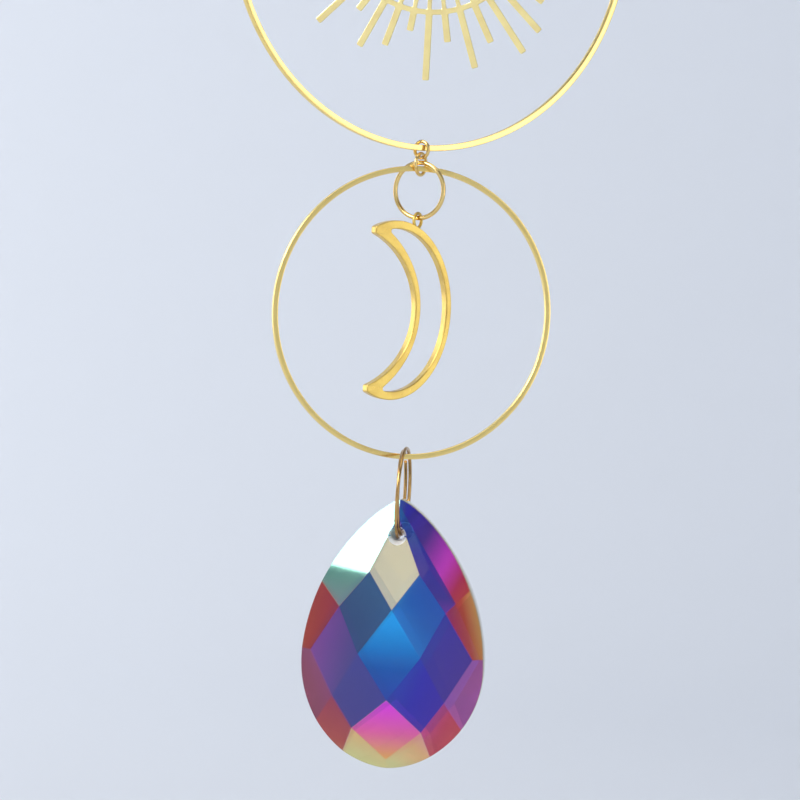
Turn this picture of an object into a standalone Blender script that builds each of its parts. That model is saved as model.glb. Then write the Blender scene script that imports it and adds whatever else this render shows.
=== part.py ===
"""Crystal suncatcher: two brass hoops with a sunburst and a crescent moon, and a
faceted crystal drop below them. Metres, +Z up. The origin is the inner top of
the hanging ring, where a hook or a thread holds the whole thing, and every
piece hangs plumb below it.

A turn is the angle about Z, in degrees, by which a piece is turned out of the
XZ plane."""

import math

import bmesh
import bpy
import numpy as np
from mathutils import Matrix, Vector

MM = 0.001

# Room left between two pieces that touch
JOINT_GAP = 0.15 * MM

# Hanging ring at the top
HANGING_RING_OUTER = 12.0 * MM
HANGING_RING_WIRE = 1.0 * MM
HANGING_RING_TURN_DEG = -45.0

# Large hoop, of square wire
LARGE_HOOP_OUTER = 85.6 * MM
LARGE_HOOP_BAR = 1.1 * MM
LARGE_HOOP_TURN_DEG = 30.7

# Sunburst charm, etched from sheet
SUN_TURN_DEG = -8.0
SUN_SHEET = 0.7 * MM
SUN_RING_RADIUS = 18.1 * MM
SUN_RING_BAND = 0.95 * MM
SUN_CORE_RADIUS = 9.5 * MM
SUN_CORE_BAND = 0.85 * MM
SUN_RAY_WIDTH = 1.2 * MM
SUN_SPOKE_WIDTH = 0.75 * MM
# Ray tips from the centre, clockwise from the top ray, in shares of the
# longest. The pattern comes twice round the sun
SUN_LONGEST_RAY = 30.7 * MM
SUN_RAY_TIPS = (1.0, 0.716, 0.842, 0.913, 0.735, 0.955, 0.813, 0.981, 0.755, 0.897,
                0.994, 0.794, 0.929, 0.729, 0.845, 0.952, 0.994, 0.845, 0.958, 0.774)
SUN_REPEATS = 2

# Eyelets soldered to the charms
EYELET_OUTER = 3.3 * MM
EYELET_WIRE = 0.6 * MM
EYELET_SINK = 0.35 * MM

# Ring that holds the sunburst
SUN_HANGER_OUTER = 10.7 * MM
SUN_HANGER_WIRE = 0.75 * MM
SUN_HANGER_TURN_DEG = 70.0

# Two links between the hoops
LINK_WIRE = 0.65 * MM
LINK_EASE = 0.2 * MM
UPPER_LINK_TURN_DEG = -35.0
LOWER_LINK_TURN_DEG = 62.0

# Small hoop, of square wire
SMALL_HOOP_OUTER = 54.4 * MM
SMALL_HOOP_BAR = 1.0 * MM
SMALL_HOOP_TURN_DEG = 19.0

# Ring that holds the moon
MOON_RING_OUTER = 11.1 * MM
MOON_RING_WIRE = 0.85 * MM
MOON_RING_TURN_DEG = -30.0

# Crescent moon charm: an ellipse with a circle taken out of it and its horns
# cut off blunt, opened by a smaller crescent of the same kind
MOON_TURN_DEG = 27.0
MOON_DEPTH = 2.0 * MM
MOON_LIMB_HALF_WIDTH = 11.85 * MM
MOON_LIMB_HALF_HEIGHT = 16.6 * MM
MOON_HOLLOW_RADIUS = 15.3 * MM
MOON_HOLLOW_OFFSET = 10.85 * MM
MOON_HORN_REACH = 4.7 * MM
# The frame's width at the waist and at the horns, how much flatter the
# opening's hollow side is, and how far the opening reaches towards the horns
MOON_BAND = 1.03 * MM
MOON_HORN_BAND = 1.55 * MM
MOON_OPENING_FLATTER = 1.2
MOON_OPENING_REACH = 1.4 * MM
MOON_EYELET_OFFSET = 4.3 * MM
MOON_EYELET_TURN_DEG = 60.0

# Wire ring of two turns that carries the crystal, nearly square to its face
PRISM_RING_ACROSS_DEG = 88.0
PRISM_RING_RADIUS = 8.0 * MM
PRISM_RING_WIRE = 0.65 * MM
PRISM_RING_SPREAD = 0.83 * MM
PRISM_RING_CUT_DEG = 10.0
PRISM_RING_CUT_AT_DEG = 130.0

# Crystal drop
CRYSTAL_TURN_DEG = -8.5
CRYSTAL_HEIGHT = 50.0 * MM
CRYSTAL_WIDTH = 34.1 * MM
# Depth and edge of the rounded drop, before its facets are ground
CRYSTAL_DEPTH = 12.8 * MM
CRYSTAL_EDGE = 3.4 * MM
CRYSTAL_WIDEST = 31.0 * MM
CRYSTAL_SHOULDER = 0.78
CRYSTAL_BASE = 0.55
CRYSTAL_HOLE = 2.5 * MM
CRYSTAL_HOLE_DROP = 6.4 * MM
# Depth of the hole's flare at each face, and how far it widens for its depth
CRYSTAL_HOLE_FLARE = 0.45 * MM
CRYSTAL_HOLE_WIDENING = 1.0
# Corners of the front facets, as the depth below the tip and the distances
# from the middle, in shares of the height. The first row's facets run up to
# one corner in the middle
CRYSTAL_FACET_APEX = 0.060
CRYSTAL_FACET_ROWS = ((0.270, (0.093, 0.325)),
                      (0.406, (0.0, 0.199)),
                      (0.576, (0.117, 0.304)),
                      (0.740, (0.0, 0.210)),
                      (0.855, (0.130, 0.282)),
                      (0.968, (0.0, 0.172)))

# Sides of a wire's section, and steps round each round shape
ROUND_SIDES = 8
SQUARE_SIDES = 4
EYELET_STEPS = 20
LINK_STEPS = 24
SUN_RING_STEPS = 32
CHARM_RING_STEPS = 36
SMALL_HOOP_STEPS = 80
LARGE_HOOP_STEPS = 96
PRISM_RING_STEPS = 96
LIMB_STEPS = 44
HOLLOW_STEPS = 32
PEAR_STEPS = 56
HOLE_STEPS = 20
MERGE_WITHIN = 0.01 * MM
CUT_WITHIN = 0.0001 * MM


def clear_scene():
    for item in list(bpy.data.objects):
        bpy.data.objects.remove(item, do_unlink=True)


def material(name, colour, roughness, metallic=0.0, transmission=0.0):
    finish = bpy.data.materials.new(name)
    finish.use_nodes = True
    shader = finish.node_tree.nodes["Principled BSDF"]
    shader.inputs["Base Color"].default_value = (*colour, 1.0)
    shader.inputs["Roughness"].default_value = roughness
    shader.inputs["Metallic"].default_value = metallic
    shader.inputs["Transmission Weight"].default_value = transmission
    return finish


def add_piece(name, mesh_maker, finish, sharp_over=50.0):
    """Put the shape that the maker fills a bmesh with into the scene. Edges
    that turn by more degrees than sharp_over are shaded as corners."""
    shape = bmesh.new()
    mesh_maker(shape)
    bmesh.ops.recalc_face_normals(shape, faces=shape.faces)
    mesh = bpy.data.meshes.new(name)
    shape.to_mesh(mesh)
    shape.free()
    mesh.materials.append(finish)
    mesh.shade_smooth()
    mesh.set_sharp_from_angle(angle=math.radians(sharp_over))
    piece = bpy.data.objects.new(name, mesh)
    bpy.context.scene.collection.objects.link(piece)
    return piece


def place(piece, height, turn):
    piece.location = (0.0, 0.0, height)
    piece.rotation_euler = (0.0, 0.0, math.radians(turn))


def add_helper(name, mesh_maker, finish):
    helper = add_piece(name, mesh_maker, finish)
    helper.hide_render = True
    helper.display_type = "WIRE"
    return helper


def combine(piece, helper, operation):
    modifier = piece.modifiers.new(helper.name, "BOOLEAN")
    modifier.operation = operation
    modifier.solver = "EXACT"
    modifier.object = helper


def upright_ring(radius, wire, corners, steps):
    """A maker of a ring in the XZ plane: a wire section spun about Y."""
    def maker(shape):
        section = bmesh.ops.create_circle(
            shape, segments=corners, radius=wire / 2.0 / math.cos(math.pi / corners),
            matrix=Matrix.Translation((radius, 0.0, 0.0))
            @ Matrix.Rotation(math.pi / corners, 4, "Z"))
        rim = {edge for corner in section["verts"] for edge in corner.link_edges}
        bmesh.ops.spin(shape, geom=section["verts"] + list(rim), axis=(0.0, 1.0, 0.0),
                       cent=(0.0, 0.0, 0.0), angle=2.0 * math.pi, steps=steps, use_merge=True)
    return maker


def sagitta(radius, half_width):
    return radius - math.sqrt(radius * radius - half_width * half_width)


def bar_seat(ring_inner, wire, bar, turn_between):
    """From a square bar's middle to the middle of the wire that it bears on.

    The bar's corners meet the inside of the round ring first, and a bar that
    crosses the ring at a slant is wider there."""
    half_width = bar / 2.0 / math.sin(math.radians(abs(turn_between)))
    return bar / 2.0 + wire / 2.0 + JOINT_GAP + sagitta(ring_inner / 2.0, half_width)


# Hanging ring
def make_hanging_ring(brass):
    radius = (HANGING_RING_OUTER - HANGING_RING_WIRE) / 2.0
    inner = HANGING_RING_OUTER - 2.0 * HANGING_RING_WIRE
    ring = add_piece("hanging_ring", upright_ring(radius, HANGING_RING_WIRE, ROUND_SIDES,
                                                  CHARM_RING_STEPS), brass)
    height = -inner / 2.0
    place(ring, height, HANGING_RING_TURN_DEG)
    seat = bar_seat(inner, HANGING_RING_WIRE, LARGE_HOOP_BAR,
                    HANGING_RING_TURN_DEG - LARGE_HOOP_TURN_DEG)
    return height - radius + seat


# Hoops
def make_hoop(name, outer, bar, turn, top_bar, steps, brass):
    """A square wire hoop whose top bar has its middle at the height given."""
    radius = (outer - bar) / 2.0
    hoop = add_piece(name, upright_ring(radius, bar, SQUARE_SIDES, steps), brass)
    place(hoop, top_bar - radius, turn)
    return top_bar - 2.0 * radius


# Rings that hang on a hoop's bar and hold a charm
def make_charm_ring(name, outer, wire, turn, hoop_bar, hoop_turn, bar_height, steps, brass):
    radius = (outer - wire) / 2.0
    ring = add_piece(name, upright_ring(radius, wire, ROUND_SIDES, steps), brass)
    height = bar_height + bar_seat(outer - 2.0 * wire, wire, hoop_bar, turn - hoop_turn) - radius
    place(ring, height, turn)
    return height - radius


def eyelet_height(ring_bottom, ring_wire):
    """The middle of an eyelet that hangs on the bottom of its ring."""
    top_wire = ring_bottom + ring_wire / 2.0 + EYELET_WIRE / 2.0 + JOINT_GAP
    return top_wire - (EYELET_OUTER - EYELET_WIRE) / 2.0


def add_eyelet(piece, name, side, height, turn, brass):
    helper = add_helper(name, upright_ring((EYELET_OUTER - EYELET_WIRE) / 2.0, EYELET_WIRE,
                                           ROUND_SIDES, EYELET_STEPS), brass)
    helper.location = (side, 0.0, height)
    helper.rotation_euler = (0.0, 0.0, math.radians(turn))
    helper.parent = piece
    combine(piece, helper, "UNION")


# Sunburst charm
def sunburst(shape):
    """Flat sheet work: two rings, spokes between them and rays outside."""
    tips = [tip * SUN_LONGEST_RAY for tip in SUN_RAY_TIPS * SUN_REPEATS]
    core_inner = SUN_CORE_RADIUS - SUN_CORE_BAND / 2.0
    core_outer = SUN_CORE_RADIUS + SUN_CORE_BAND / 2.0
    ring_inner = SUN_RING_RADIUS - SUN_RING_BAND / 2.0
    ring_outer = SUN_RING_RADIUS + SUN_RING_BAND / 2.0
    levels = ((core_inner, SUN_SPOKE_WIDTH), (core_outer, SUN_SPOKE_WIDTH),
              (ring_inner, SUN_SPOKE_WIDTH), (ring_outer, SUN_RAY_WIDTH))
    columns = []
    for number, tip in enumerate(tips):
        turned = Matrix.Rotation(2.0 * math.pi * number / len(tips), 4, "Y")
        column = []
        for radius, width in levels + ((tip, SUN_RAY_WIDTH),):
            reach = math.sqrt(radius * radius - width * width / 4.0)
            corners = [Vector((side * width / 2.0, -SUN_SHEET / 2.0, reach)) for side in (-1.0, 1.0)]
            column.append([shape.verts.new(turned @ corner) for corner in corners])
        columns.append(column)
    for number, column in enumerate(columns):
        following = columns[(number + 1) % len(columns)]
        for low, high in zip(column, column[1:]):
            shape.faces.new((low[0], low[1], high[1], high[0]))
        for level in (0, 2):
            shape.faces.new((column[level][1], following[level][0],
                             following[level + 1][0], column[level + 1][1]))
    sheet = bmesh.ops.extrude_face_region(shape, geom=list(shape.faces))
    raised = [part for part in sheet["geom"] if isinstance(part, bmesh.types.BMVert)]
    bmesh.ops.translate(shape, verts=raised, vec=(0.0, SUN_SHEET, 0.0))


def make_sunburst(ring_bottom, brass):
    charm = add_piece("sunburst_charm", sunburst, brass)
    rise = SUN_LONGEST_RAY + EYELET_OUTER / 2.0 - EYELET_SINK
    place(charm, eyelet_height(ring_bottom, SUN_HANGER_WIRE) - rise, SUN_TURN_DEG)
    add_eyelet(charm, "sunburst_eyelet", 0.0, rise, 0.0, brass)


# Links between the hoops
def make_links(large_bar, brass):
    """Both links, and the height of the small hoop's top bar, which hangs in
    the lower one below the moon's ring."""
    through_upper = (LARGE_HOOP_BAR, LINK_WIRE)
    through_lower = (LINK_WIRE, MOON_RING_WIRE, SMALL_HOOP_BAR)
    upper_inner = sum(through_upper) + (len(through_upper) + 1) * JOINT_GAP + LINK_EASE
    lower_inner = sum(through_lower) + (len(through_lower) + 1) * JOINT_GAP + LINK_EASE
    upper_radius = (upper_inner + LINK_WIRE) / 2.0
    lower_radius = (lower_inner + LINK_WIRE) / 2.0
    upper = add_piece("upper_link", upright_ring(upper_radius, LINK_WIRE, ROUND_SIDES, LINK_STEPS),
                      brass)
    seat = bar_seat(upper_inner, LINK_WIRE, LARGE_HOOP_BAR, UPPER_LINK_TURN_DEG - LARGE_HOOP_TURN_DEG)
    upper_height = large_bar + seat - upper_radius
    place(upper, upper_height, UPPER_LINK_TURN_DEG)
    lower = add_piece("lower_link", upright_ring(lower_radius, LINK_WIRE, ROUND_SIDES, LINK_STEPS),
                      brass)
    lower_height = upper_height - upper_radius + LINK_WIRE + JOINT_GAP - lower_radius
    place(lower, lower_height, LOWER_LINK_TURN_DEG)
    hold = bar_seat(lower_inner, LINK_WIRE, SMALL_HOOP_BAR, LOWER_LINK_TURN_DEG - SMALL_HOOP_TURN_DEG)
    return lower_height - lower_radius + hold


# Crescent moon charm
def limb_height(side):
    """Height of the limb's top edge above its middle, at a distance aside."""
    share = side / MOON_LIMB_HALF_WIDTH
    return MOON_LIMB_HALF_HEIGHT * math.sqrt(1.0 - share * share)


def crescent_outline(half_width, half_height, radius, offset, reach):
    """Round the limb's ellipse from horn to horn and back along the hollow's
    circle, as points aside and up from the limb's middle."""
    limb_start = math.acos(-reach / half_width)
    hollow_start = math.acos((offset - reach) / radius)
    outline = []
    for share in np.linspace(1.0, -1.0, LIMB_STEPS + 1):
        angle = limb_start * share
        outline.append((half_width * math.cos(angle), half_height * math.sin(angle)))
    for share in np.linspace(-1.0, 1.0, HOLLOW_STEPS + 1):
        angle = hollow_start * share
        outline.append((radius * math.cos(angle) - offset, radius * math.sin(angle)))
    return outline


def crescent(shape):
    """Flat band between the moon's outline and its opening, made thick."""
    radius = MOON_HOLLOW_RADIUS * MOON_OPENING_FLATTER
    offset = radius - (MOON_HOLLOW_RADIUS - MOON_HOLLOW_OFFSET + MOON_BAND)
    outside = crescent_outline(MOON_LIMB_HALF_WIDTH, MOON_LIMB_HALF_HEIGHT, MOON_HOLLOW_RADIUS,
                               MOON_HOLLOW_OFFSET, MOON_HORN_REACH)
    inside = crescent_outline(MOON_LIMB_HALF_WIDTH - MOON_BAND, MOON_LIMB_HALF_HEIGHT - MOON_HORN_BAND,
                              radius, offset, MOON_OPENING_REACH)
    outer, inner = [[shape.verts.new((side, -MOON_DEPTH / 2.0, height)) for side, height in outline]
                    for outline in (outside, inside)]
    for number in range(len(outer)):
        after = (number + 1) % len(outer)
        shape.faces.new((outer[number], outer[after], inner[after], inner[number]))
    frame = bmesh.ops.extrude_face_region(shape, geom=list(shape.faces))
    raised = [part for part in frame["geom"] if isinstance(part, bmesh.types.BMVert)]
    bmesh.ops.translate(shape, verts=raised, vec=(0.0, MOON_DEPTH, 0.0))


def make_moon(ring_bottom, brass):
    moon = add_piece("crescent_moon_charm", crescent, brass)
    rise = limb_height(MOON_EYELET_OFFSET) + EYELET_OUTER / 2.0 - EYELET_SINK
    place(moon, eyelet_height(ring_bottom, MOON_RING_WIRE) - rise, MOON_TURN_DEG)
    turn = math.radians(MOON_TURN_DEG)
    moon.location.x = -MOON_EYELET_OFFSET * math.cos(turn)
    moon.location.y = -MOON_EYELET_OFFSET * math.sin(turn)
    add_eyelet(moon, "moon_eyelet", MOON_EYELET_OFFSET, rise, MOON_EYELET_TURN_DEG - MOON_TURN_DEG,
               brass)


# Wire ring that carries the crystal
def strand_offset():
    """Half the distance between the two turns where they lie inside each other."""
    return (PRISM_RING_WIRE + JOINT_GAP) / 2.0


def two_turn_ring(shape):
    """Wire of two turns in the XZ plane. At the +X side its turns lie one
    inside the other, and at the -X side next to each other."""
    cut = math.radians(PRISM_RING_CUT_DEG)
    first = math.radians(PRISM_RING_CUT_AT_DEG) - 2.0 * math.pi + cut / 2.0
    sweep = 4.0 * math.pi - cut
    nested = strand_offset()
    aside = PRISM_RING_SPREAD / 2.0
    loops = []
    for step in range(PRISM_RING_STEPS + 1):
        angle = first + sweep * step / PRISM_RING_STEPS
        radius = PRISM_RING_RADIUS + nested * math.cos(angle / 2.0)
        outward = Vector((math.cos(angle), 0.0, math.sin(angle)))
        across = Vector((0.0, 1.0, 0.0))
        middle = radius * outward + aside * math.sin(angle / 2.0) * across
        loop = []
        for corner in range(ROUND_SIDES):
            lean = 2.0 * math.pi * corner / ROUND_SIDES
            side = math.cos(lean) * outward + math.sin(lean) * across
            loop.append(shape.verts.new(middle + PRISM_RING_WIRE / 2.0 * side))
        loops.append(loop)
    for near, far in zip(loops, loops[1:]):
        for corner in range(ROUND_SIDES):
            after = (corner + 1) % ROUND_SIDES
            shape.faces.new((near[corner], near[after], far[after], far[corner]))
    shape.faces.new(loops[0])
    shape.faces.new(loops[-1])


def make_prism_ring(small_bar, brass):
    ring = add_piece("prism_wire_ring", two_turn_ring, brass)
    turn = CRYSTAL_TURN_DEG - PRISM_RING_ACROSS_DEG
    inner = 2.0 * (PRISM_RING_RADIUS - strand_offset()) - PRISM_RING_WIRE
    seat = bar_seat(inner, PRISM_RING_WIRE, SMALL_HOOP_BAR, turn - SMALL_HOOP_TURN_DEG)
    height = small_bar + seat + strand_offset() * math.cos(math.pi / 4.0) - PRISM_RING_RADIUS
    place(ring, height, turn)
    return height - PRISM_RING_RADIUS


# Crystal drop
def pear_outline(corners):
    """The drop's outline round its tip, as distances aside and below the tip."""
    points = []
    for number in range(corners):
        angle = math.pi / 2.0 - 2.0 * math.pi * number / corners
        rise = math.sin(angle)
        above = rise > 0.0
        bulge = CRYSTAL_SHOULDER if above else CRYSTAL_BASE
        length = CRYSTAL_WIDEST if above else CRYSTAL_HEIGHT - CRYSTAL_WIDEST
        side = abs(math.cos(angle)) ** (2.0 * bulge) * CRYSTAL_WIDTH / 2.0
        points.append((math.copysign(side, math.cos(angle)), CRYSTAL_WIDEST - length * rise))
    return points


def dome(side, drop):
    """Height of the front's crown over the middle plane."""
    length = CRYSTAL_WIDEST if drop < CRYSTAL_WIDEST else CRYSTAL_HEIGHT - CRYSTAL_WIDEST
    across = side / (CRYSTAL_WIDTH / 2.0)
    along = (drop - CRYSTAL_WIDEST) / length
    crown = (CRYSTAL_DEPTH - CRYSTAL_EDGE) / 2.0
    return CRYSTAL_EDGE / 2.0 + crown * (1.0 - across * across - along * along)


def facet_cells():
    """Each facet as the corners that it joins: above, left, right and below."""
    rows = [(drop, sorted({sign * side for side in sides for sign in (-1.0, 1.0)}))
            for drop, sides in CRYSTAL_FACET_ROWS]
    cells = []
    for number, (drop, sides) in enumerate(rows):
        above = rows[number - 1] if number else None
        below = rows[number + 1] if number + 1 < len(rows) else None
        for left, right in zip([None] + sides, sides + [None]):
            cell = [(side, drop) for side in (left, right) if side is not None]
            low = -1.0 if left is None else left
            high = 1.0 if right is None else right
            for near in (above, below):
                if near:
                    between = [side for side in near[1] if low < side < high]
                    cell += [(side, near[0]) for side in between]
            if above is None and left is not None and right is not None:
                cell.append((0.0, CRYSTAL_FACET_APEX))
            if len(cell) >= 3:
                cells.append(cell)
    return cells


def facet_planes():
    """A flat plane for each front facet. The corners start on the crown and
    move as little as makes each facet's four corners lie in one plane."""
    cells = facet_cells()
    corners = sorted({corner for cell in cells for corner in cell})
    spots = np.array(corners) * CRYSTAL_HEIGHT
    start = np.array([dome(side, drop) for side, drop in spots])
    rules = []
    for cell in cells:
        if len(cell) > 3:
            members = [corners.index(corner) for corner in cell]
            flat = np.column_stack([spots[members] / CRYSTAL_HEIGHT, np.ones(len(members))])
            for weights in np.linalg.svd(flat.T)[2][3:]:
                rule = np.zeros(len(corners))
                rule[members] = weights
                rules.append(rule)
    rules = np.array(rules)
    heights = start - np.linalg.pinv(rules) @ (rules @ start)
    planes = []
    for cell in cells:
        members = [corners.index(corner) for corner in cell]
        points = np.column_stack([spots[members], heights[members]])
        middle = points.mean(axis=0)
        normal = np.linalg.svd(points - middle)[2][2]
        planes.append((middle, normal * math.copysign(1.0, normal[2])))
    return planes


def crystal_drop(shape):
    """The pear-shaped slab, ground flat facet by facet on both faces."""
    outline = [shape.verts.new((side, -CRYSTAL_DEPTH, -drop))
               for side, drop in pear_outline(PEAR_STEPS)]
    slab = bmesh.ops.extrude_face_region(shape, geom=[shape.faces.new(outline)])
    raised = [part for part in slab["geom"] if isinstance(part, bmesh.types.BMVert)]
    bmesh.ops.translate(shape, verts=raised, vec=(0.0, 2.0 * CRYSTAL_DEPTH, 0.0))
    for middle, normal in facet_planes():
        for face in (-1.0, 1.0):
            cut = bmesh.ops.bisect_plane(
                shape, geom=list(shape.verts) + list(shape.edges) + list(shape.faces), dist=CUT_WITHIN,
                plane_co=(middle[0], face * middle[2], -middle[1]),
                plane_no=(normal[0], face * normal[2], -normal[1]), clear_outer=True)
            edges = [part for part in cut["geom_cut"] if isinstance(part, bmesh.types.BMEdge)]
            bmesh.ops.contextual_create(shape, geom=edges)
    bmesh.ops.remove_doubles(shape, verts=shape.verts, dist=MERGE_WITHIN)
    bmesh.ops.dissolve_degenerate(shape, edges=shape.edges, dist=MERGE_WITHIN)


def hole_half_length():
    """Half the crystal's thickness where the hole runs through."""
    hole = np.array((0.0, CRYSTAL_HOLE_DROP))
    depths = [middle[2] - normal[:2] @ (hole - middle[:2]) / normal[2]
              for middle, normal in facet_planes()]
    return float(min(depths))


def drilled_hole(shape):
    """Cutter in the shape of the hole, which flares at both faces."""
    start = hole_half_length() - CRYSTAL_HOLE_FLARE
    end = CRYSTAL_DEPTH / 2.0
    narrow = CRYSTAL_HOLE / 2.0
    wide = narrow + CRYSTAL_HOLE_WIDENING * (end - start)
    profile = ((wide, -end), (narrow, -start), (narrow, start), (wide, end))
    points = [shape.verts.new((0.0, profile[0][1], 0.0))]
    points += [shape.verts.new((side, along, 0.0)) for side, along in profile]
    points.append(shape.verts.new((0.0, profile[-1][1], 0.0)))
    edges = [shape.edges.new(pair) for pair in zip(points, points[1:])]
    bmesh.ops.spin(shape, geom=points + edges, axis=(0.0, 1.0, 0.0), cent=(0.0, 0.0, 0.0),
                   angle=2.0 * math.pi, steps=HOLE_STEPS, use_merge=True)
    bmesh.ops.remove_doubles(shape, verts=shape.verts, dist=MERGE_WITHIN)


def make_crystal(ring_bottom, crystal_finish):
    drop = add_piece("crystal_drop", crystal_drop, crystal_finish, sharp_over=10.0)
    half = hole_half_length()
    arch = sagitta(PRISM_RING_RADIUS, half)
    hole_top = ring_bottom + arch + strand_offset() + PRISM_RING_WIRE / 2.0 + JOINT_GAP
    place(drop, hole_top - CRYSTAL_HOLE / 2.0 + CRYSTAL_HOLE_DROP, CRYSTAL_TURN_DEG)
    cutter = add_helper("crystal_hole", drilled_hole, crystal_finish)
    cutter.location = (0.0, 0.0, -CRYSTAL_HOLE_DROP)
    cutter.parent = drop
    combine(drop, cutter, "DIFFERENCE")


# Put it together from the top down
clear_scene()
BRASS = material("polished_brass", (0.83, 0.62, 0.27), 0.22, metallic=1.0)
CRYSTAL = material("coated_crystal", (0.86, 0.88, 0.95), 0.02, transmission=1.0)

large_top_bar = make_hanging_ring(BRASS)
large_bottom_bar = make_hoop("large_hoop", LARGE_HOOP_OUTER, LARGE_HOOP_BAR, LARGE_HOOP_TURN_DEG,
                             large_top_bar, LARGE_HOOP_STEPS, BRASS)
sun_hanger_bottom = make_charm_ring("sun_ring", SUN_HANGER_OUTER, SUN_HANGER_WIRE, SUN_HANGER_TURN_DEG,
                                    LARGE_HOOP_BAR, LARGE_HOOP_TURN_DEG, large_top_bar, SUN_RING_STEPS,
                                    BRASS)
make_sunburst(sun_hanger_bottom, BRASS)
small_top_bar = make_links(large_bottom_bar, BRASS)
small_bottom_bar = make_hoop("small_hoop", SMALL_HOOP_OUTER, SMALL_HOOP_BAR, SMALL_HOOP_TURN_DEG,
                             small_top_bar, SMALL_HOOP_STEPS, BRASS)
moon_ring_bottom = make_charm_ring("moon_ring", MOON_RING_OUTER, MOON_RING_WIRE, MOON_RING_TURN_DEG,
                                   SMALL_HOOP_BAR, SMALL_HOOP_TURN_DEG, small_top_bar, CHARM_RING_STEPS,
                                   BRASS)
make_moon(moon_ring_bottom, BRASS)
prism_ring_bottom = make_prism_ring(small_bottom_bar, BRASS)
make_crystal(prism_ring_bottom, CRYSTAL)
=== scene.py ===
"""Looks of the crystal suncatcher: brass hoops, sunburst and crescent moon, and
the coated crystal drop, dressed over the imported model. Metres, +Z up."""

import math

import bmesh
import bpy
from mathutils import Matrix, Quaternion, Vector


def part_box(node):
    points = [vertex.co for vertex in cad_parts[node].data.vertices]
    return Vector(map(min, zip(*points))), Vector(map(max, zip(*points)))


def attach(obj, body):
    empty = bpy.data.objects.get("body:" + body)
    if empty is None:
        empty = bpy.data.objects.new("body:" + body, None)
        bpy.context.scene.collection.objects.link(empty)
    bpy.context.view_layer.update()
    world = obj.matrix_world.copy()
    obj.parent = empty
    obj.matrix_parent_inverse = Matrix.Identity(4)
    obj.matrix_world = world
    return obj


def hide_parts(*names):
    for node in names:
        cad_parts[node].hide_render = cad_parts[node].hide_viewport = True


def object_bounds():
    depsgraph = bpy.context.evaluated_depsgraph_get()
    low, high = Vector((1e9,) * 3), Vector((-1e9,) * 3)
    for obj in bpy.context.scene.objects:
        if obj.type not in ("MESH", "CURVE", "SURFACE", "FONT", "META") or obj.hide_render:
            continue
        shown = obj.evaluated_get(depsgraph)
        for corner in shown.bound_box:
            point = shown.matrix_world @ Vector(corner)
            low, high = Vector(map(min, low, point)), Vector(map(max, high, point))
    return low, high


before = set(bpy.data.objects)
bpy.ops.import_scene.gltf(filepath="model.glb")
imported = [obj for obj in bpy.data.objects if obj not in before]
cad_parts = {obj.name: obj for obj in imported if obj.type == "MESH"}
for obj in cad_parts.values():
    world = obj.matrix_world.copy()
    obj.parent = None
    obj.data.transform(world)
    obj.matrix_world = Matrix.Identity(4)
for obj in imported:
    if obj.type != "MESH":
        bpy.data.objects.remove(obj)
cad_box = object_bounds()
scene = bpy.context.scene


# Camera
# The photograph looks straight at the hanging piece from about 0.8 m, a little
# down. The picture leans, so that the plumb line runs from lower left to upper
# right.
MM = 0.001
CAMERA_DISTANCE = 806 * MM
CAMERA_HEIGHT = -109 * MM
PICTURE_MIDDLE = Vector((-1.41, 0.0, -140.6)) * MM
PICTURE_LEAN = math.radians(3.2)

lens = bpy.data.cameras.new("camera")
lens.lens = 195.75
lens.sensor_width = 36.0
lens.clip_start = 0.01
camera = bpy.data.objects.new("camera", lens)
scene.collection.objects.link(camera)
camera.location = (PICTURE_MIDDLE.x, -CAMERA_DISTANCE, CAMERA_HEIGHT)
camera.rotation_mode = "QUATERNION"
camera.rotation_quaternion = (
    (PICTURE_MIDDLE - camera.location).to_track_quat("-Z", "Y")
    @ Quaternion((0.0, 0.0, 1.0), PICTURE_LEAN))
scene.camera = camera
scene.view_settings.view_transform = "Standard"


# Studio
# A plain pale floor that bends up into a plain pale wall all round, lit by
# large soft lamps.
FLOOR = cad_box[0].z - 150 * MM
ROOM_RADIUS = 2.4
ROOM_BEND = 0.9
ROOM_HEIGHT = 2.6
PAPER = (0.72, 0.75, 0.80, 1.0)

shape = bmesh.new()
middle = shape.verts.new((0.0, 0.0, FLOOR))
edge_of_floor = shape.verts.new((ROOM_RADIUS - ROOM_BEND, 0.0, FLOOR))
shape.edges.new((middle, edge_of_floor))
bend = bmesh.ops.spin(shape, geom=[edge_of_floor], axis=(0.0, -1.0, 0.0), angle=math.pi / 2.0, steps=16,
                      cent=(ROOM_RADIUS - ROOM_BEND, 0.0, FLOOR + ROOM_BEND))
foot_of_wall = [part for part in bend["geom_last"] if isinstance(part, bmesh.types.BMVert)]
wall = bmesh.ops.extrude_vert_indiv(shape, verts=foot_of_wall)
bmesh.ops.translate(shape, verts=wall["verts"], vec=(0.0, 0.0, ROOM_HEIGHT))
bmesh.ops.spin(shape, geom=list(shape.verts) + list(shape.edges), axis=(0.0, 0.0, 1.0), angle=2.0 * math.pi,
               steps=96, cent=(0.0, 0.0, 0.0), use_merge=True)
bmesh.ops.remove_doubles(shape, verts=shape.verts, dist=0.01 * MM)
bmesh.ops.recalc_face_normals(shape, faces=shape.faces)
mesh = bpy.data.meshes.new("studio_floor")
shape.to_mesh(mesh)
shape.free()
mesh.shade_smooth()
paper = bpy.data.materials.new("studio_paper")
paper.use_nodes = True
paper.node_tree.nodes["Principled BSDF"].inputs["Base Color"].default_value = PAPER
paper.node_tree.nodes["Principled BSDF"].inputs["Roughness"].default_value = 0.9
mesh.materials.append(paper)
studio = bpy.data.objects.new("studio_floor", mesh)
scene.collection.objects.link(studio)


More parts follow.
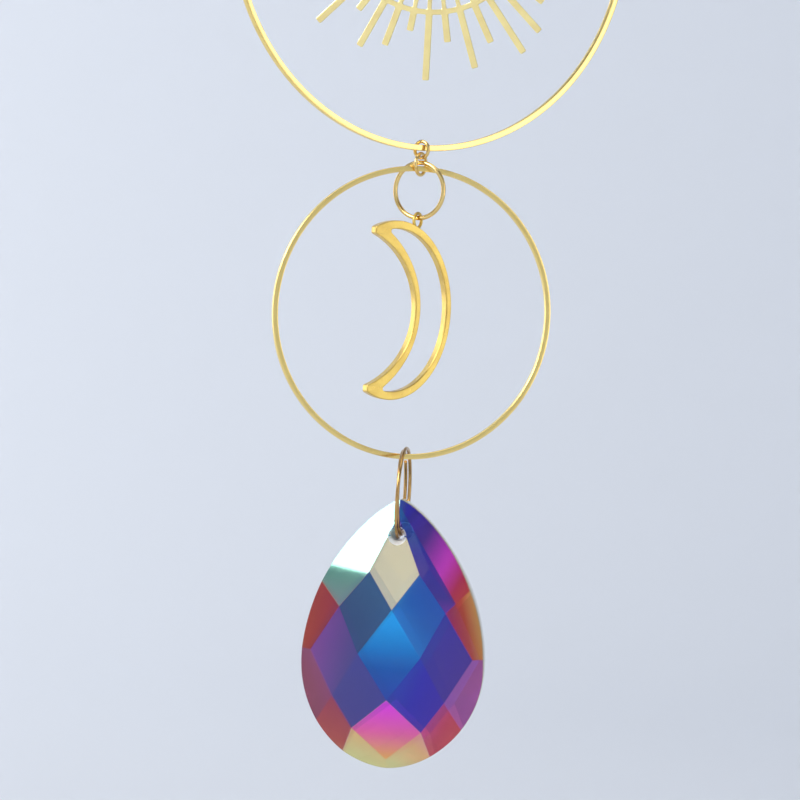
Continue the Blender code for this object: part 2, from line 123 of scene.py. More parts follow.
def soft_lamp(name, place, aim, width, height, power, colour=(1.0, 1.0, 1.0)):
    lamp = bpy.data.lights.new(name, "AREA")
    lamp.shape = "RECTANGLE"
    lamp.size = width
    lamp.size_y = height
    lamp.energy = power
    lamp.color = colour
    holder = bpy.data.objects.new(name, lamp)
    scene.collection.objects.link(holder)
    holder.location = place
    holder.rotation_mode = "QUATERNION"
    holder.rotation_quaternion = (Vector(aim) - Vector(place)).to_track_quat("-Z", "Y")
    holder.visible_camera = False


CRYSTAL_MIDDLE = (0.0, 0.0, -0.185)
soft_lamp("key_lamp", (-0.89, -0.61, 0.565), (-0.14, 0.14, -0.17), 0.55, 0.55, 12.0, (1.0, 0.97, 0.92))
soft_lamp("side_lamp", (1.1, -0.5, 0.0), CRYSTAL_MIDDLE, 0.5, 0.9, 2.6, (0.96, 0.98, 1.0))
soft_lamp("window_lamp", (-1.3, 0.95, 0.0), CRYSTAL_MIDDLE, 0.8, 0.9, 3.5)
soft_lamp("wall_lamp", (-1.1, 1.3, 0.8), (-0.35, 2.4, 0.1), 0.6, 0.6, 11.0)
soft_lamp("front_wall_lamp", (-0.2, -1.1, 0.9), (-0.3, -2.4, 0.0), 0.6, 0.6, 12.0)
soft_lamp("top_lamp", (0.0, 0.0, 1.9), (0.0, 0.0, 0.0), 1.6, 1.6, 14.0)
world = bpy.data.worlds.new("studio_air")
world.use_nodes = True
world.node_tree.nodes["Background"].inputs["Color"].default_value = (0.80, 0.86, 1.0, 1.0)
world.node_tree.nodes["Background"].inputs["Strength"].default_value = 0.22
scene.world = world


# Hanging ring and the jump rings of the two charms
# Round brass wire wound on a rod, cut, and closed so that its ends meet. Each
# ring runs loose over the bar or the wire that it holds.
HANGING_RING_WIRE = 1.0 * MM
SUN_RING_WIRE = 0.75 * MM
MOON_RING_WIRE = 0.85 * MM
HANGING_RING_TURN = -45.0
SUN_RING_TURN = 70.0
MOON_RING_TURN = -30.0
WIRE_SIDES = 20
RING_CUT = 0.06 * MM


def brass_surface():
    """Polished brass: a slow drift of tone, fine rubbing marks and specks."""
    group = bpy.data.node_groups.new("brass_surface", "ShaderNodeTree")
    sockets = group.interface
    for name, kind, default in (("Tone", "NodeSocketColor", (0.86, 0.62, 0.24, 1.0)),
                                ("Tarnish", "NodeSocketColor", (0.50, 0.28, 0.07, 1.0)),
                                ("Tarnish Amount", "NodeSocketFloat", 0.35),
                                ("Polish", "NodeSocketFloat", 0.16),
                                ("Rub", "NodeSocketFloat", 0.12),
                                ("Vector", "NodeSocketVector", (0.0, 0.0, 0.0))):
        socket = sockets.new_socket(name, in_out="INPUT", socket_type=kind)
        if kind != "NodeSocketVector":
            socket.default_value = default
    for name, kind in (("Color", "NodeSocketColor"), ("Roughness", "NodeSocketFloat"),
                       ("Height", "NodeSocketFloat")):
        sockets.new_socket(name, in_out="OUTPUT", socket_type=kind)
    nodes = group.nodes
    link = group.links.new
    given = nodes.new("NodeGroupInput")
    result = nodes.new("NodeGroupOutput")
    drift = nodes.new("ShaderNodeTexNoise")
    drift.inputs["Scale"].default_value = 260.0
    drift.inputs["Detail"].default_value = 4.0
    link(given.outputs["Vector"], drift.inputs["Vector"])
    share = nodes.new("ShaderNodeMapRange")
    share.inputs["From Min"].default_value = 0.42
    share.inputs["From Max"].default_value = 0.72
    link(drift.outputs["Fac"], share.inputs["Value"])
    amount = nodes.new("ShaderNodeMath")
    amount.operation = "MULTIPLY"
    link(share.outputs["Result"], amount.inputs[0])
    link(given.outputs["Tarnish Amount"], amount.inputs[1])
    blend = nodes.new("ShaderNodeMix")
    blend.data_type = "RGBA"
    link(amount.outputs["Value"], blend.inputs["Factor"])
    link(given.outputs["Tone"], blend.inputs["A"])
    link(given.outputs["Tarnish"], blend.inputs["B"])
    link(blend.outputs["Result"], result.inputs["Color"])
    rubbing = nodes.new("ShaderNodeTexNoise")
    rubbing.inputs["Scale"].default_value = 2600.0
    rubbing.inputs["Detail"].default_value = 3.0
    link(given.outputs["Vector"], rubbing.inputs["Vector"])
    rough = nodes.new("ShaderNodeMath")
    rough.operation = "MULTIPLY_ADD"
    link(rubbing.outputs["Fac"], rough.inputs[0])
    link(given.outputs["Rub"], rough.inputs[1])
    link(given.outputs["Polish"], rough.inputs[2])
    link(rough.outputs["Value"], result.inputs["Roughness"])
    link(rubbing.outputs["Fac"], result.inputs["Height"])
    return group


BRASS_SURFACE = brass_surface()


def brass(name, stretch=(1.0, 1.0, 1.0), bump=0.05, **values):
    """A brass finish of its own for each kind of piece."""
    finish = bpy.data.materials.new(name)
    finish.use_nodes = True
    nodes = finish.node_tree.nodes
    link = finish.node_tree.links.new
    shader = nodes["Principled BSDF"]
    shader.inputs["Metallic"].default_value = 1.0
    place = nodes.new("ShaderNodeTexCoord")
    grain = nodes.new("ShaderNodeMapping")
    grain.inputs["Scale"].default_value = stretch
    link(place.outputs["Object"], grain.inputs["Vector"])
    surface = nodes.new("ShaderNodeGroup")
    surface.node_tree = BRASS_SURFACE
    for socket, value in values.items():
        surface.inputs[socket.replace("_", " ").title()].default_value = value
    link(grain.outputs["Vector"], surface.inputs["Vector"])
    link(surface.outputs["Color"], shader.inputs["Base Color"])
    link(surface.outputs["Roughness"], shader.inputs["Roughness"])
    relief = nodes.new("ShaderNodeBump")
    relief.inputs["Strength"].default_value = bump
    relief.inputs["Distance"].default_value = 0.02 * MM
    link(surface.outputs["Height"], relief.inputs["Height"])
    link(relief.outputs["Normal"], shader.inputs["Normal"])
    return finish


def finished_piece(name, shape, finish, node, sharp_over=40.0):
    """The piece stands for its node and hangs with the rest."""
    bmesh.ops.recalc_face_normals(shape, faces=shape.faces)
    mesh = bpy.data.meshes.new(name)
    shape.to_mesh(mesh)
    shape.free()
    mesh.materials.append(finish)
    mesh.shade_smooth()
    mesh.set_sharp_from_angle(angle=math.radians(sharp_over))
    piece = bpy.data.objects.new(name, mesh)
    scene.collection.objects.link(piece)
    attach(piece, "root")
    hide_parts(node)


def middle_height(node):
    low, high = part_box(node)
    return (low.z + high.z) / 2.0


def half_height(node):
    low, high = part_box(node)
    return (high.z - low.z) / 2.0


def hung_at(height, turn):
    return Matrix.Translation((0.0, 0.0, height)) @ Matrix.Rotation(math.radians(turn), 4, "Z")


def jump_ring(node, wire, turn, cut_at, steps=144):
    """Round wire spun almost all the way round, with a hairline left open at
    cut_at degrees."""
    radius = half_height(node) - wire / 2.0
    shape = bmesh.new()
    section = bmesh.ops.create_circle(shape, cap_ends=True, segments=WIRE_SIDES, radius=wire / 2.0,
                                      matrix=Matrix.Translation((radius, 0.0, 0.0)))
    gap = RING_CUT / radius
    start = Matrix.Rotation(-math.radians(cut_at) - gap / 2.0, 4, "Y")
    bmesh.ops.transform(shape, matrix=start, verts=shape.verts)
    first_end = list(shape.faces)
    bmesh.ops.spin(shape, geom=first_end, axis=(0.0, -1.0, 0.0), cent=(0.0, 0.0, 0.0),
                   angle=2.0 * math.pi - gap, steps=steps)
    bmesh.ops.transform(shape, matrix=hung_at(middle_height(node), turn), verts=shape.verts)
    return shape


WIRE_BRASS = brass("bright_ring_wire", polish=0.12, rub=0.10, tarnish_amount=0.45)
for node, wire, turn, cut_at in (("hanging_ring", HANGING_RING_WIRE, HANGING_RING_TURN, 40.0),
                                 ("sun_ring", SUN_RING_WIRE, SUN_RING_TURN, 30.0),
                                 ("moon_ring", MOON_RING_WIRE, MOON_RING_TURN, 150.0)):
    finished_piece(node + "_wire", jump_ring(node, wire, turn, cut_at), WIRE_BRASS, node)


# Hoops
# Square brass wire rolled to a circle, with the sharp corners rubbed off, and
# its ends soldered together at the top.
LARGE_HOOP_BAR = 1.1 * MM
SMALL_HOOP_BAR = 1.0 * MM
LARGE_HOOP_TURN = 30.7
SMALL_HOOP_TURN = 19.0
HOOP_CORNER = 0.13 * MM
FLAT_SIDES = 20.0


def square_hoop(node, bar, turn, steps):
    radius = half_height(node) - bar / 2.0
    shape = bmesh.new()
    set_square = Matrix.Translation((radius, 0.0, 0.0)) @ Matrix.Rotation(math.pi / 4.0, 4, "Z")
    bmesh.ops.create_circle(shape, segments=4, radius=bar / math.sqrt(2.0), matrix=set_square)
    bmesh.ops.bevel(shape, geom=list(shape.verts) + list(shape.edges), offset=HOOP_CORNER,
                    offset_type="OFFSET", affect="VERTICES", segments=3, profile=0.5, material=-1)
    bmesh.ops.spin(shape, geom=list(shape.verts) + list(shape.edges), axis=(0.0, 1.0, 0.0),
                   cent=(0.0, 0.0, 0.0), angle=2.0 * math.pi, steps=steps, use_merge=True)
    bmesh.ops.remove_doubles(shape, verts=shape.verts, dist=0.001 * MM)
    bmesh.ops.transform(shape, matrix=hung_at(middle_height(node), turn), verts=shape.verts)
    return shape


HOOP_BRASS = brass("drawn_hoop_wire", polish=0.20, rub=0.10, tone=(0.94, 0.71, 0.25, 1.0),
                   tarnish_amount=0.14)
for node, bar, turn, steps in (("large_hoop", LARGE_HOOP_BAR, LARGE_HOOP_TURN, 288),
                               ("small_hoop", SMALL_HOOP_BAR, SMALL_HOOP_TURN, 240)):
    finished_piece(node + "_wire", square_hoop(node, bar, turn, steps), HOOP_BRASS, node, FLAT_SIDES)


# Links between the hoops
# Two small jump rings of thinner brass wire. The upper one runs over the large
# hoop, and the lower one through it and over the small hoop.
LINK_WIRE = 0.65 * MM
UPPER_LINK_TURN = -35.0
LOWER_LINK_TURN = 62.0
LINK_STEPS = 72
for node, turn, cut_at in (("upper_link", UPPER_LINK_TURN, 100.0), ("lower_link", LOWER_LINK_TURN, 200.0)):
    finished_piece(node + "_wire", jump_ring(node, LINK_WIRE, turn, cut_at, LINK_STEPS), WIRE_BRASS, node)


# Sunburst charm
# Flat brass sheet etched through: two rings, spokes between them and rays
# outside, every inner corner a little round. A wire eyelet is soldered to the
# top ray.
SUN_TURN = -8.0
SUN_SHEET = 0.7 * MM
SUN_RAY_WIDTH = 1.2 * MM
# Radius and width of the work at the rings' edges, from the inside out
SUN_LEVELS = ((9.075, 0.75), (9.925, 0.75), (17.625, 0.75), (18.575, 1.2), (30.7, 1.2))
SUN_RAYS = 40
SUN_RAY_TIPS = (1.0, 0.716, 0.842, 0.913, 0.735, 0.955, 0.813, 0.981, 0.755, 0.897,
                0.994, 0.794, 0.929, 0.729, 0.845, 0.952, 0.994, 0.845, 0.958, 0.774)
SUN_CORNER = 0.26 * MM
SHEET_RIM = 0.07 * MM
EYELET_OUTER = 3.3 * MM
EYELET_WIRE = 0.6 * MM
EYELET_SINK = 0.35 * MM
SOLDER_RADIUS = 0.5 * MM
SOLDER_SHAPE = (1.1, 0.8, 0.6, 1.0)
SOLDER_BELOW = 0.05 * MM
# Angles, in radians, over which an edge counts as a corner or a rim
CORNER_OVER = 0.5
RIM_OVER = 1.2


def thickened(shape, depth):
    """The flat work made thick, from the front back."""
    bmesh.ops.translate(shape, verts=shape.verts, vec=(0.0, -depth / 2.0, 0.0))
    sheet = bmesh.ops.extrude_face_region(shape, geom=list(shape.faces))
    raised = [part for part in sheet["geom"] if isinstance(part, bmesh.types.BMVert)]
    bmesh.ops.translate(shape, verts=raised, vec=(0.0, depth, 0.0))
    bmesh.ops.recalc_face_normals(shape, faces=shape.faces)


def eased(shape, corner, rim, steps):
    """Round the corners of the outline, then take off the sharp rims."""
    corners = [edge for edge in shape.edges if edge.is_manifold and edge.calc_face_angle() > CORNER_OVER
               and abs(edge.verts[0].co.y - edge.verts[1].co.y) > 0.1 * MM]
    bmesh.ops.bevel(shape, geom=corners, offset=corner, offset_type="OFFSET", affect="EDGES", segments=3,
                    profile=0.5, material=-1)
    rims = [edge for edge in shape.edges if edge.is_manifold and edge.calc_face_angle() > RIM_OVER]
    bmesh.ops.bevel(shape, geom=rims, offset=rim, offset_type="OFFSET", affect="EDGES", segments=steps,
                    profile=0.5, material=-1)


def add_eyelet(shape, side, height, turn):
    """A wire eyelet whose foot is sunk in a drop of solder."""
    before = set(shape.verts)
    radius = (EYELET_OUTER - EYELET_WIRE) / 2.0
    section = bmesh.ops.create_circle(shape, segments=24, radius=EYELET_WIRE / 2.0,
                                      matrix=Matrix.Translation((radius, 0.0, 0.0)))
    rim = {edge for corner in section["verts"] for edge in corner.link_edges}
    bmesh.ops.spin(shape, geom=section["verts"] + list(rim), axis=(0.0, 1.0, 0.0), cent=(0.0, 0.0, 0.0),
                   angle=2.0 * math.pi, steps=48, use_merge=True)
    foot = Matrix.Translation((0.0, 0.0, EYELET_SINK - EYELET_OUTER / 2.0 - SOLDER_BELOW))
    bmesh.ops.create_uvsphere(shape, u_segments=28, v_segments=16, radius=SOLDER_RADIUS,
                              matrix=foot @ Matrix.Diagonal(SOLDER_SHAPE))
    added = [corner for corner in shape.verts if corner not in before]
    bmesh.ops.transform(shape, verts=added, matrix=Matrix.Translation((side, 0.0, height))
                        @ Matrix.Rotation(math.radians(turn), 4, "Z"))


shape = bmesh.new()
bmesh.ops.create_grid(shape, x_segments=3, y_segments=4, size=1.0)
gaps = []
for face in shape.faces:
    spot = face.calc_center_median()
    if abs(spot.x) > 0.5 and (-0.5 < spot.y < 0.0 or spot.y > 0.5):
        gaps.append(face)
bmesh.ops.delete(shape, geom=gaps, context="FACES")
for corner in shape.verts:
    radius, width = SUN_LEVELS[round(2.0 * corner.co.y + 2.0)]
    side = math.copysign(width / 2.0, corner.co.x)
    if abs(corner.co.x) > 0.5:
        side = math.copysign(radius * math.sin(math.pi / SUN_RAYS), corner.co.x)
    corner.co = Vector((side, 0.0, math.sqrt(radius * radius - side * side))) * MM
bmesh.ops.spin(shape, geom=list(shape.verts) + list(shape.edges) + list(shape.faces), axis=(0.0, 1.0, 0.0),
               cent=(0.0, 0.0, 0.0), angle=2.0 * math.pi * (1.0 - 1.0 / SUN_RAYS), steps=SUN_RAYS - 1,
               use_duplicate=True)
bmesh.ops.remove_doubles(shape, verts=shape.verts, dist=0.001 * MM)
longest = SUN_LEVELS[-1][0] * MM
for corner in shape.verts:
    if corner.co.length > 0.8 * longest:
        number = round(math.atan2(corner.co.x, corner.co.z) * SUN_RAYS / (2.0 * math.pi))
        turn = 2.0 * math.pi * number / SUN_RAYS
        outward = Vector((math.sin(turn), 0.0, math.cos(turn)))
        tip = longest * SUN_RAY_TIPS[number % len(SUN_RAY_TIPS)]
        reach = math.sqrt(tip * tip - SUN_RAY_WIDTH * SUN_RAY_WIDTH / 4.0)
        corner.co += (reach - corner.co.dot(outward)) * outward
thickened(shape, SUN_SHEET)
eased(shape, SUN_CORNER, SHEET_RIM, 2)
rise = longest + EYELET_OUTER / 2.0 - EYELET_SINK
add_eyelet(shape, 0.0, rise, 0.0)
low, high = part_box("sunburst_charm")
bmesh.ops.transform(shape, matrix=hung_at(high.z - EYELET_OUTER / 2.0 - rise, SUN_TURN), verts=shape.verts)
SHEET_BRASS = brass("etched_sheet", polish=0.24, rub=0.16, tone=(0.97, 0.80, 0.35, 1.0), tarnish_amount=0.18)
finished_piece("sunburst_sheet", shape, SHEET_BRASS, "sunburst_charm", FLAT_SIDES)


# Crescent moon charm
# Cast brass frame between two crescents, with blunt horns and brushed faces. A
# wire eyelet is soldered to its back.
MOON_TURN = 27.0
MOON_DEPTH = 2.0 * MM
MOON_HALF_WIDTH = 11.85 * MM
MOON_HALF_HEIGHT = 16.6 * MM
MOON_HOLLOW = 15.3 * MM
MOON_HOLLOW_OFFSET = 10.85 * MM
MOON_HORN_REACH = 4.7 * MM
MOON_BAND = 1.03 * MM
MOON_HORN_BAND = 1.55 * MM
MOON_OPENING_FLATTER = 1.2
MOON_OPENING_REACH = 1.4 * MM
MOON_CORNER = 0.25 * MM
MOON_RIM = 0.20 * MM
MOON_FLAT_SIDES = 10.0
MOON_EYELET_OFFSET = 4.3 * MM
MOON_EYELET_TURN = 60.0
MOON_LIMB_STEPS = 96
MOON_HOLLOW_STEPS = 72


def crescent(shape, half_width, half_height, radius, offset, reach):
    """The outline from horn to horn along the limb, and back along the hollow."""
    limb = math.acos(-reach / half_width)
    hollow = math.acos((offset - reach) / radius)
    outline = []
    for number in range(MOON_LIMB_STEPS + 1):
        angle = limb * (1.0 - 2.0 * number / MOON_LIMB_STEPS)
        outline.append(shape.verts.new((half_width * math.cos(angle), 0.0, half_height * math.sin(angle))))
    for number in range(MOON_HOLLOW_STEPS + 1):
        angle = hollow * (2.0 * number / MOON_HOLLOW_STEPS - 1.0)
        outline.append(shape.verts.new((radius * math.cos(angle) - offset, 0.0, radius * math.sin(angle))))
    return outline


shape = bmesh.new()
opening_radius = MOON_HOLLOW * MOON_OPENING_FLATTER
opening_offset = opening_radius - (MOON_HOLLOW - MOON_HOLLOW_OFFSET + MOON_BAND)
outer = crescent(shape, MOON_HALF_WIDTH, MOON_HALF_HEIGHT, MOON_HOLLOW, MOON_HOLLOW_OFFSET, MOON_HORN_REACH)
inner = crescent(shape, MOON_HALF_WIDTH - MOON_BAND, MOON_HALF_HEIGHT - MOON_HORN_BAND, opening_radius,
                 opening_offset, MOON_OPENING_REACH)
for number in range(len(outer)):
    after = (number + 1) % len(outer)
    shape.faces.new((outer[number], outer[after], inner[after], inner[number]))
thickened(shape, MOON_DEPTH)
eased(shape, MOON_CORNER, MOON_RIM, 4)
top = MOON_HALF_HEIGHT * math.sqrt(1.0 - (MOON_EYELET_OFFSET / MOON_HALF_WIDTH) ** 2)
rise = top + EYELET_OUTER / 2.0 - EYELET_SINK
add_eyelet(shape, MOON_EYELET_OFFSET, rise, MOON_EYELET_TURN - MOON_TURN)
low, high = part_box("crescent_moon_charm")
bmesh.ops.transform(shape, matrix=hung_at(high.z - EYELET_OUTER / 2.0 - rise, MOON_TURN)
                    @ Matrix.Translation((-MOON_EYELET_OFFSET, 0.0, 0.0)), verts=shape.verts)
MOON_BRASS = brass("brushed_moon", polish=0.22, rub=0.16, tone=(0.80, 0.56, 0.14, 1.0), tarnish_amount=0.40)
finished_piece("crescent_frame", shape, MOON_BRASS, "crescent_moon_charm", MOON_FLAT_SIDES)


# Wire ring that carries the crystal
# One length of brass wire wound twice round, like a key ring. It goes over the
# hoop's bar and through the hole in the crystal.
PRISM_WIRE = 0.65 * MM
PRISM_RING_TURN = -96.5
PRISM_RING_MIDDLE_RADIUS = 8.0 * MM
PRISM_RING_SPREAD = 0.83 * MM
PRISM_STRAND_GAP = 0.15 * MM
PRISM_CUT = math.radians(10.0)
PRISM_CUT_AT = math.radians(130.0)
PRISM_STEPS = 288

nested = (PRISM_WIRE + PRISM_STRAND_GAP) / 2.0
strand = bpy.data.curves.new("prism_strand", "CURVE")
strand.dimensions = "3D"
strand.bevel_depth = PRISM_WIRE / 2.0
strand.bevel_resolution = 4
strand.use_fill_caps = True
line = strand.splines.new("POLY")
line.points.add(PRISM_STEPS)
first = PRISM_CUT_AT - 2.0 * math.pi + PRISM_CUT / 2.0
low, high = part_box("prism_wire_ring")
ring_middle = high.z - PRISM_WIRE / 2.0 - PRISM_RING_MIDDLE_RADIUS - nested * math.cos(math.pi / 4.0)
placed = hung_at(ring_middle, PRISM_RING_TURN)
for number in range(PRISM_STEPS + 1):
    angle = first + (4.0 * math.pi - PRISM_CUT) * number / PRISM_STEPS
    radius = PRISM_RING_MIDDLE_RADIUS + nested * math.cos(angle / 2.0)
    spot = placed @ Vector((radius * math.cos(angle), PRISM_RING_SPREAD / 2.0 * math.sin(angle / 2.0),
                            radius * math.sin(angle)))
    line.points[number].co = (*spot, 1.0)
wound = bpy.data.objects.new("prism_strand", strand)
scene.collection.objects.link(wound)
bpy.context.view_layer.update()
shape = bmesh.new()
shape.from_mesh(wound.evaluated_get(bpy.context.evaluated_depsgraph_get()).to_mesh())
bpy.data.objects.remove(wound)
PRISM_BRASS = brass("antique_ring_wire", polish=0.14, rub=0.10, tone=(0.58, 0.36, 0.13, 1.0),
                    tarnish=(0.30, 0.14, 0.04, 1.0), tarnish_amount=0.6)
finished_piece("prism_ring_strand", shape, PRISM_BRASS, "prism_wire_ring")


# Crystal drop
# Pear-shaped glass ground flat on both faces, with polished facets and a thin
# film baked on that gives each facet its own colour, over which a painted dark
# reflection of grey surroundings dims some facets, most of all on the left. One
# hole is drilled through the top, and its wall stays matt.
CRYSTAL_TURN = math.radians(-8.5)
CRYSTAL_HALF_WIDTH = 17.05 * MM
CRYSTAL_HALF_DEPTH = 6.4 * MM
CRYSTAL_WIDEST = 31.0 * MM
CRYSTAL_SHOULDER = 0.78
CRYSTAL_BASE = 0.55
GIRDLE_STEPS = 224
HOLE_DROP = 6.4 * MM
HOLE_RADIUS = 1.25 * MM
HOLE_FLARE = 0.45 * MM
FACET_CHAMFER = 0.05 * MM
# A face within this reach of the hole, and not square to it, is the hole's wall
HOLE_REACH = 2.5 * MM
SQUARE_TO_HOLE = 0.9
# A face whose normal has at least this share ahead or back is a facet
FACET_AHEAD = 0.5
# Facets that meet at over this angle, in radians, are chamfered
CHAMFER_OVER = 0.02

low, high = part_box("crystal_drop")
crystal_length = high.z - low.z
tip = Vector((0.0, 0.0, high.z))
aside = Vector((math.cos(CRYSTAL_TURN), math.sin(CRYSTAL_TURN), 0.0))
ahead = Vector((math.sin(CRYSTAL_TURN), -math.cos(CRYSTAL_TURN), 0.0))

# The ground facets lie in the planes of the solid's own facets
SMALLEST_FACET = 8e-6
solid = bmesh.new()
solid.from_mesh(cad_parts["crystal_drop"].data)
bmesh.ops.remove_doubles(solid, verts=solid.verts, dist=0.001 * MM)
bmesh.ops.dissolve_limit(solid, angle_limit=math.radians(0.5), verts=solid.verts, edges=solid.edges)
facets = []
for face in solid.faces:
    if abs(face.normal.dot(ahead)) > FACET_AHEAD and face.calc_area() > SMALLEST_FACET:
        if not any(face.normal.dot(normal) > 0.99999 for normal, spot in facets):
            facets.append((face.normal.copy(), face.verts[0].co.copy()))
solid.free()

shape = bmesh.new()
girdle = []
for number in range(GIRDLE_STEPS):
    angle = 2.0 * math.pi * number / GIRDLE_STEPS
    rise = math.sin(angle)
    bulge = CRYSTAL_SHOULDER if rise > 0.0 else CRYSTAL_BASE
    length = CRYSTAL_WIDEST if rise > 0.0 else crystal_length - CRYSTAL_WIDEST
    side = math.copysign(abs(math.cos(angle)) ** (2.0 * bulge) * CRYSTAL_HALF_WIDTH, math.cos(angle))
    girdle.append(shape.verts.new(tip + side * aside - 2.0 * CRYSTAL_HALF_DEPTH * ahead
                                  + Vector((0.0, 0.0, length * rise - CRYSTAL_WIDEST))))
slab = bmesh.ops.extrude_face_region(shape, geom=[shape.faces.new(girdle)])
bmesh.ops.translate(shape, verts=[part for part in slab["geom"] if isinstance(part, bmesh.types.BMVert)],
                    vec=4.0 * CRYSTAL_HALF_DEPTH * ahead)
for normal, spot in facets:
    ground = bmesh.ops.bisect_plane(shape, geom=list(shape.verts) + list(shape.edges) + list(shape.faces),
                                    dist=0.0001 * MM, plane_co=spot, plane_no=normal, clear_outer=True)
    rim = [part for part in ground["geom_cut"] if isinstance(part, bmesh.types.BMEdge)]
    bmesh.ops.contextual_create(shape, geom=rim)
bmesh.ops.remove_doubles(shape, verts=shape.verts, dist=0.01 * MM)
bmesh.ops.dissolve_degenerate(shape, edges=shape.edges, dist=0.005 * MM)
bmesh.ops.recalc_face_normals(shape, faces=shape.faces)
ground_mesh = bpy.data.meshes.new("ground_drop")
shape.to_mesh(ground_mesh)
shape.free()
ground_drop = bpy.data.objects.new("ground_drop", ground_mesh)
scene.collection.objects.link(ground_drop)

hole_middle = tip - Vector((0.0, 0.0, HOLE_DROP))
depths = [normal.dot(spot - hole_middle) / normal.dot(ahead) for normal, spot in facets]
flare_from = min(depth for depth in depths if depth > 0.0) - HOLE_FLARE
hole_reach = CRYSTAL_HALF_DEPTH - flare_from
shape = bmesh.new()
profile = [shape.verts.new((side, along, 0.0)) for side, along in (
    (0.0, -CRYSTAL_HALF_DEPTH), (HOLE_RADIUS + hole_reach, -CRYSTAL_HALF_DEPTH), (HOLE_RADIUS, -flare_from),
    (HOLE_RADIUS, flare_from), (HOLE_RADIUS + hole_reach, CRYSTAL_HALF_DEPTH), (0.0, CRYSTAL_HALF_DEPTH))]
edges = [shape.edges.new(pair) for pair in zip(profile, profile[1:])]
bmesh.ops.spin(shape, geom=profile + edges, axis=(0.0, 1.0, 0.0), cent=(0.0, 0.0, 0.0), angle=2.0 * math.pi,
               steps=48, use_merge=True)
bmesh.ops.remove_doubles(shape, verts=shape.verts, dist=0.001 * MM)
bmesh.ops.recalc_face_normals(shape, faces=shape.faces)
bmesh.ops.transform(shape, matrix=hung_at(high.z - HOLE_DROP, math.degrees(CRYSTAL_TURN)), verts=shape.verts)
drill_mesh = bpy.data.meshes.new("drill")
shape.to_mesh(drill_mesh)
shape.free()
drill = bpy.data.objects.new("drill", drill_mesh)
scene.collection.objects.link(drill)
drilling = ground_drop.modifiers.new("drilling", "BOOLEAN")
drilling.operation = "DIFFERENCE"
drilling.solver = "EXACT"
drilling.object = drill
bpy.context.view_layer.update()
shape = bmesh.new()
shape.from_mesh(ground_drop.evaluated_get(bpy.context.evaluated_depsgraph_get()).to_mesh())
bpy.data.objects.remove(ground_drop)
bpy.data.objects.remove(drill)

# The film on each facet, by the place of the facet's middle as shares of the
# height aside and below the tip. Then come its order on the ramp below, what
# it gains for each mm outward and downward, the share by which the facet is
# darkened towards slate grey as a painted reflection of grey surroundings, and
# the share by which the facet looks pale
CRYSTAL_FACETS = (
    ((0.000, 0.271), 1.00, 0.000, 0.000, 0.00, 1.00),
    ((0.140, 0.185), 0.48, 0.026, 0.012, 0.00, 0.00),
    ((0.117, 0.215), 0.27, 0.000, 0.019, 0.12, 0.00),
    ((-0.140, 0.203), 1.15, 0.000, -0.003, 0.00, 0.00),
    ((0.100, 0.423), 0.10, 0.006, -0.004, 0.05, 0.00),
    ((-0.100, 0.423), 0.09, 0.004, 0.004, 0.72, 0.00),
    ((0.268, 0.449), 0.77, 0.045, -0.012, 0.00, 0.00),
    ((-0.268, 0.449), 0.75, 0.012, 0.000, 0.22, 0.00),
    ((0.000, 0.573), 0.07, 0.000, 0.012, 0.00, 0.00),
    ((0.211, 0.573), 0.34, 0.008, 0.004, 0.20, 0.00),
    ((-0.211, 0.573), 0.43, 0.008, -0.002, 0.45, 0.00),
    ((0.105, 0.716), 0.25, 0.010, 0.004, 0.00, 0.00),
    ((-0.105, 0.716), 0.32, 0.004, 0.004, 0.45, 0.00),
    ((0.275, 0.707), 0.52, 0.008, 0.004, 0.30, 0.10),
    ((-0.275, 0.707), 0.66, 0.006, 0.003, 0.55, 0.00),
    ((0.000, 0.854), 1.49, 0.000, 0.018, 0.00, 0.00),
    ((0.202, 0.843), 0.67, 0.010, 0.006, 0.05, 0.05),
    ((-0.202, 0.843), 0.74, 0.004, 0.014, 0.35, 0.00),
    ((0.083, 0.928), 1.60, -0.010, 0.012, 0.05, 0.30),
    ((-0.083, 0.928), 1.63, 0.004, 0.012, 0.00, 0.20),
)
FILM_END = 1.7

film = shape.loops.layers.float.new("film")
painted_dark_reflection = shape.loops.layers.float.new("painted_dark_reflection")
bare = shape.loops.layers.float.new("bare")


def share_of_height(spot):
    return Vector(((spot - tip).dot(aside), tip.z - spot.z)) / crystal_length


def at_share(share):
    return tip + crystal_length * (share[0] * aside - Vector((0.0, 0.0, share[1])))


# On the front's upper right facet the film changes along a line, where an edge
# of the back shows through
FILM_LINE = ((0.064, 0.119), (0.226, 0.360))
line_top, line_foot = (at_share(share) for share in FILM_LINE)
line_middle = (Vector(FILM_LINE[0]) + Vector(FILM_LINE[1])) / 2.0
front_faces = [face for face in shape.faces if face.normal.dot(ahead) > FACET_AHEAD]
split = min(front_faces,
            key=lambda face: (share_of_height(face.calc_center_bounds()) - line_middle).length)
bmesh.ops.bisect_plane(shape, geom=[split] + list(split.edges) + list(split.verts), dist=0.0001 * MM,
                       plane_co=line_top, plane_no=(line_foot - line_top).cross(ahead))

